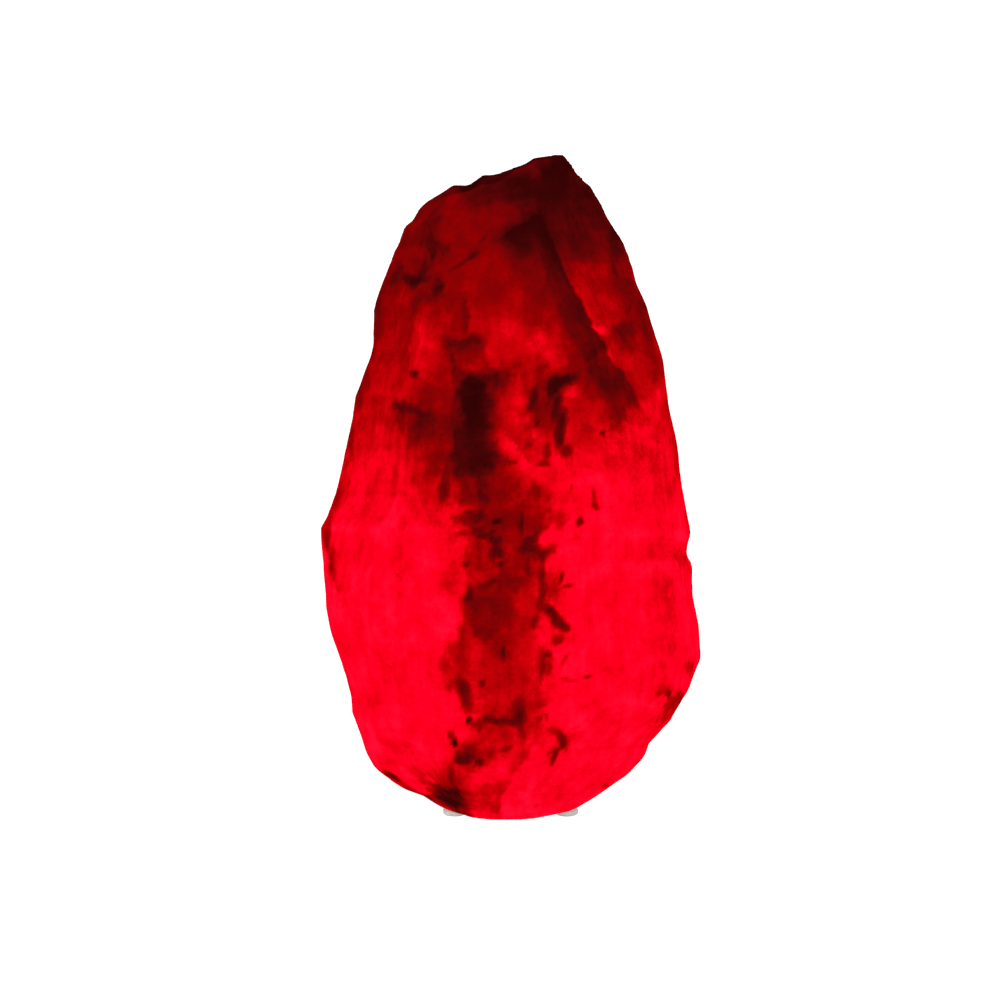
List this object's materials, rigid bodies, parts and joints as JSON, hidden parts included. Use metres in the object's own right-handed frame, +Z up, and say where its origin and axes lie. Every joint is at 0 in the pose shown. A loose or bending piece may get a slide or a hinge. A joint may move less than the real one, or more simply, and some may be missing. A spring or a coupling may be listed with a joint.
{
  "type": "salt crystal lamp",
  "caption": "Tall hewn rock-salt crystal lamp, glowing red from a small screw-in bulb whose holder clips into a bore in its underside.",
  "frame": {"origin": "on the surface that the lamp stands on, at the middle of the stone's outline, where the bore's axis meets it", "axes": "+Z up along the bore, +X to the stone's right as seen from its front, +Y to the back, where the cord channel is"},
  "size_m": [0.1331, 0.1066, 0.2295],
  "materials": {
    "rock_salt": "hewn and lightly washed rock salt, lit red from inside",
    "felt": "pressed felt",
    "plated_steel": "bright plated sheet",
    "spring_steel": "rolled spring strip",
    "zinc_steel": "zinc plated",
    "black_plastic": "moulded",
    "ivory_plastic": "moulded thermoset, slightly glossy",
    "screw_steel": "turned",
    "insert_ceramic": "unglazed steatite",
    "sleeve_brass": "drawn and rolled",
    "contact_brass": "stamped",
    "solder": "tinned",
    "black_glass": "black glass",
    "cap_metal": "rolled thread",
    "red_glass": "transparent red lacquered glass",
    "clear_glass": "clear lead-free glass",
    "nickel_wire": "drawn wire",
    "glowing_filament": "coiled tungsten, glowing"
  },
  "bodies": {
    "lampholder": {"cover_plate": "plated_steel", "spring_clip": "spring_steel", "nipple": "zinc_steel", "nipple_nut": "zinc_steel", "lock_washer": "zinc_steel", "cord_bush": "black_plastic", "holder_cap": "ivory_plastic", "cap_screw": "screw_steel", "holder_shell": "ivory_plastic", "holder_insert": "insert_ceramic", "thread_sleeve": "sleeve_brass", "side_contact": "contact_brass", "end_contact": "contact_brass", "terminal_blocks": "contact_brass", "terminal_screws": "screw_steel"},
    "crystal": {"salt_crystal": "rock_salt", "foot_back_right": "felt", "foot_back_left": "felt", "foot_front_left": "felt", "foot_front_right": "felt"},
    "bulb_contact": {"bulb_end_contact": "solder"},
    "bulb": {"cap_insulator": "black_glass", "bulb_cap": "cap_metal", "bulb_glass": "red_glass", "glass_stem": "clear_glass", "lead_wires": "nickel_wire", "support_wires": "nickel_wire", "filament": "glowing_filament"}
  },
  "joints": [
    {"name": "crystal_lift", "type": "slide", "parent": "lampholder", "child": "crystal", "axis": [0, 0, 1], "range_m": [0, 0.125]},
    {"name": "bulb_lift", "type": "slide", "parent": "lampholder", "child": "bulb_contact", "axis": [0, 0, 1], "range_m": [0, 0.0113]},
    {"name": "bulb_turn", "type": "hinge", "parent": "bulb_contact", "child": "bulb", "pos_m": [0, 0, 0.05], "axis": [0, 0, 1], "range_deg": [0, 1440]}
  ],
  "couplings": [
    {"joint": "bulb_lift", "follows": "bulb_turn", "m_per_rad": 0.00044914}
  ]
}
